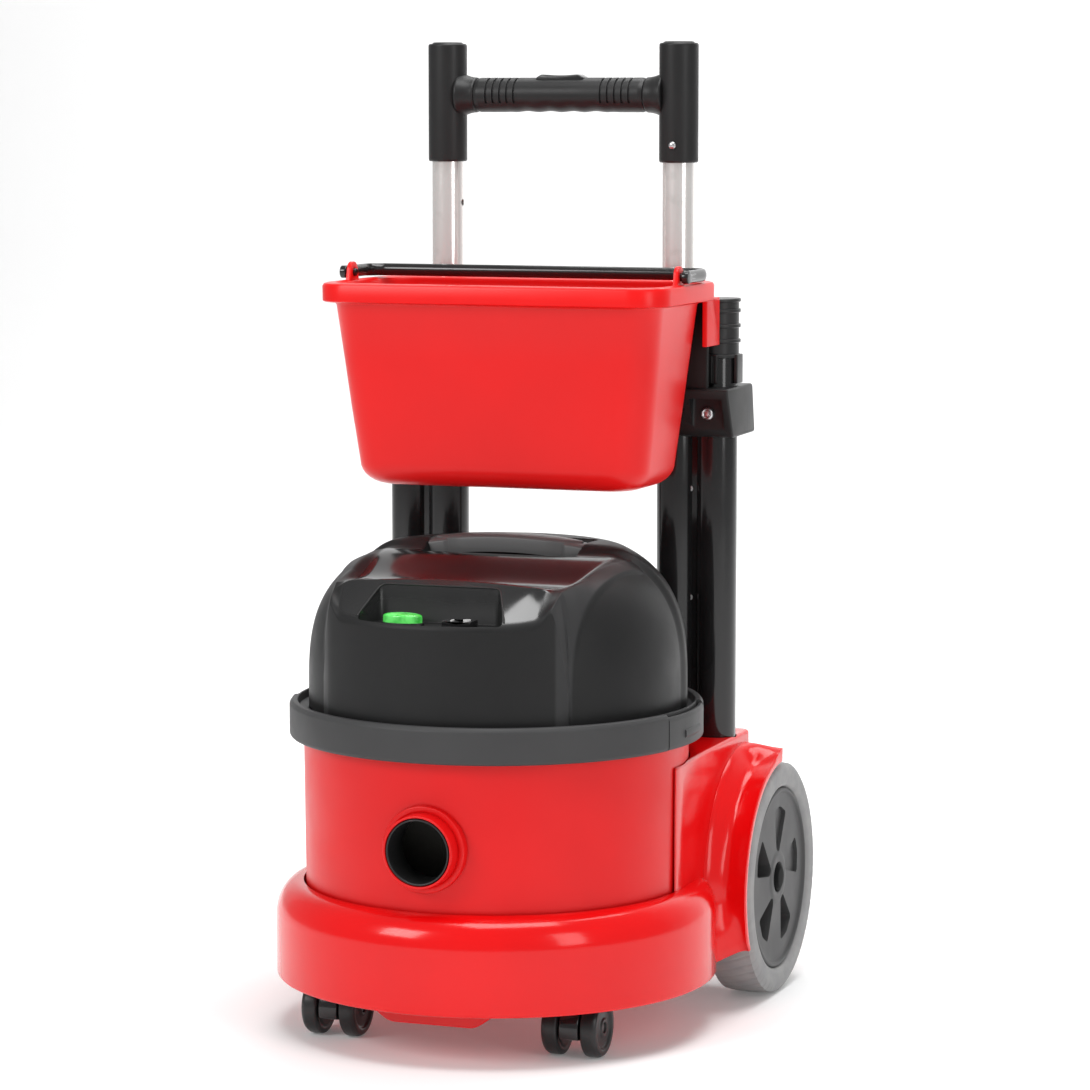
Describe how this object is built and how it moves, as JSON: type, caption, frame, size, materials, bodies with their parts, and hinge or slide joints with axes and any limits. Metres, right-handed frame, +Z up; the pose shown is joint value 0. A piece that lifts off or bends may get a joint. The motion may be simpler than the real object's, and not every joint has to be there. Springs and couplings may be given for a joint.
{
  "type": "wheeled tub vacuum cleaner",
  "caption": "Tub vacuum cleaner on a trolley with big rear wheels, front castors, a telescopic handle and a hook-on tool caddy with a bail.",
  "frame": {"origin": "on the floor, under the middle of the machine's bounding box", "axes": "+Z up; +Y towards the back, where the posts and big wheels are; +X is to the right of someone who faces the inlet"},
  "size_m": [0.394, 0.477, 0.831],
  "materials": {
    "red_gloss": "glossy red moulding",
    "red_satin": "satin red moulding",
    "charcoal": "satin, finely textured",
    "ring_grey": "satin dark grey",
    "black_gloss": "glossy black",
    "tyre_grey": "matt grey non-marking tyre",
    "hub_grey": "satin dark grey",
    "chrome": "bright plated tube",
    "steel": "plain zinc-plated steel",
    "green_lens": "translucent green lens, modelled opaque",
    "filter_cloth": "woven filter cloth",
    "motor_metal": "plain metal"
  },
  "bodies": {
    "trolley": {"trolley_base": "red_gloss", "rear_axle": "steel", "post_left": "black_gloss", "post_right": "black_gloss", "post_collar_left": "black_gloss", "post_collar_right": "black_gloss", "caddy_bracket_left": "charcoal", "caddy_bracket_right": "charcoal", "bracket_bolt_left": "steel", "bracket_bolt_right": "steel", "hanger_rail": "black_gloss", "tub": "red_satin", "inlet_collar": "red_satin", "inlet_liner": "black_gloss", "filter_bag": "filter_cloth", "motor_housing": "black_gloss", "motor_body": "motor_metal", "head_ring": "ring_grey", "head_cover": "charcoal", "carry_handle": "charcoal", "cord_gland": "black_gloss", "switch_plate": "black_gloss"},
    "fan": {"motor_fan": "motor_metal"},
    "power_switch": {"power_button": "green_lens"},
    "rocker": {"rocker_switch": "black_gloss"},
    "handle": {"tube_left": "chrome", "tube_right": "chrome", "sleeve_left": "charcoal", "sleeve_right": "charcoal", "sleeve_cap_left": "charcoal", "sleeve_cap_right": "charcoal", "sleeve_pin_left": "steel", "sleeve_pin_right": "steel", "grip": "charcoal"},
    "handle_release": {"release_button": "black_gloss"},
    "caddy": {"caddy_bucket": "red_satin"},
    "bail": {"bail_handle": "black_gloss"},
    "latch_left": {"latch_left": "ring_grey"},
    "wheel_left": {"tyre_left": "tyre_grey", "hub_left": "hub_grey", "hub_bush_left": "motor_metal", "axle_cap_left": "black_gloss"},
    "castor_left": {"castor_hood_left": "black_gloss", "castor_stem_left": "steel"},
    "castor_wheels_left": {"castor_axle_left": "steel", "castor_wheel_left_inner": "black_gloss", "castor_wheel_left_outer": "black_gloss"},
    "latch_right": {"latch_right": "ring_grey"},
    "wheel_right": {"tyre_right": "tyre_grey", "hub_right": "hub_grey", "hub_bush_right": "motor_metal", "axle_cap_right": "black_gloss"},
    "castor_right": {"castor_hood_right": "black_gloss", "castor_stem_right": "steel"},
    "castor_wheels_right": {"castor_axle_right": "steel", "castor_wheel_right_inner": "black_gloss", "castor_wheel_right_outer": "black_gloss"}
  },
  "joints": [
    {"name": "handle_slide", "type": "slide", "parent": "trolley", "child": "handle", "axis": [0, 0, 1], "range_m": [-0.11, 0.17]},
    {"name": "release_press", "type": "slide", "parent": "handle", "child": "handle_release", "axis": [0, 0, -1], "range_m": [0, 0.004], "stiffness_N_per_m": 1200, "springref_m": -0.002},
    {"name": "caddy_lift", "type": "slide", "parent": "trolley", "child": "caddy", "axis": [0, 0, 1], "range_m": [0, 0.09]},
    {"name": "bail_swing", "type": "hinge", "parent": "caddy", "child": "bail", "pos_m": [0, -0.0115, 0.634], "axis": [1, 0, 0], "range_deg": [0, 178]},
    {"name": "power_press", "type": "slide", "parent": "trolley", "child": "power_switch", "axis": [0, 0, -1], "range_m": [0, 0.002], "stiffness_N_per_m": 900, "springref_m": -0.001},
    {"name": "rocker_tilt", "type": "hinge", "parent": "trolley", "child": "rocker", "pos_m": [0.02, -0.1865, 0.357], "axis": [0, 1, 0], "range_deg": [-5, 5]},
    {"name": "fan_spin", "type": "hinge", "parent": "trolley", "child": "fan", "pos_m": [0, -0.0515, 0.17], "axis": [0, 0, 1], "continuous": true},
    {"name": "latch_swing_left", "type": "hinge", "parent": "trolley", "child": "latch_left", "pos_m": [-0.1725, -0.0515, 0.2735], "axis": [0, 1, 0], "range_deg": [0, 75]},
    {"name": "wheel_roll_left", "type": "hinge", "parent": "trolley", "child": "wheel_left", "pos_m": [-0.1745, 0.1365, 0.102], "axis": [1, 0, 0], "continuous": true},
    {"name": "castor_swivel_left", "type": "hinge", "parent": "trolley", "child": "castor_left", "pos_m": [-0.107, -0.1305, 0.05], "axis": [0, 0, 1], "continuous": true},
    {"name": "castor_roll_left", "type": "hinge", "parent": "castor_left", "child": "castor_wheels_left", "pos_m": [-0.107, -0.1455, 0.0245], "axis": [1, 0, 0], "continuous": true},
    {"name": "latch_swing_right", "type": "hinge", "parent": "trolley", "child": "latch_right", "pos_m": [0.1725, -0.0515, 0.2735], "axis": [0, -1, 0], "range_deg": [0, 75]},
    {"name": "wheel_roll_right", "type": "hinge", "parent": "trolley", "child": "wheel_right", "pos_m": [0.1745, 0.1365, 0.102], "axis": [1, 0, 0], "continuous": true},
    {"name": "castor_swivel_right", "type": "hinge", "parent": "trolley", "child": "castor_right", "pos_m": [0.107, -0.1305, 0.05], "axis": [0, 0, 1], "continuous": true},
    {"name": "castor_roll_right", "type": "hinge", "parent": "castor_right", "child": "castor_wheels_right", "pos_m": [0.107, -0.1455, 0.0245], "axis": [1, 0, 0], "continuous": true}
  ]
}
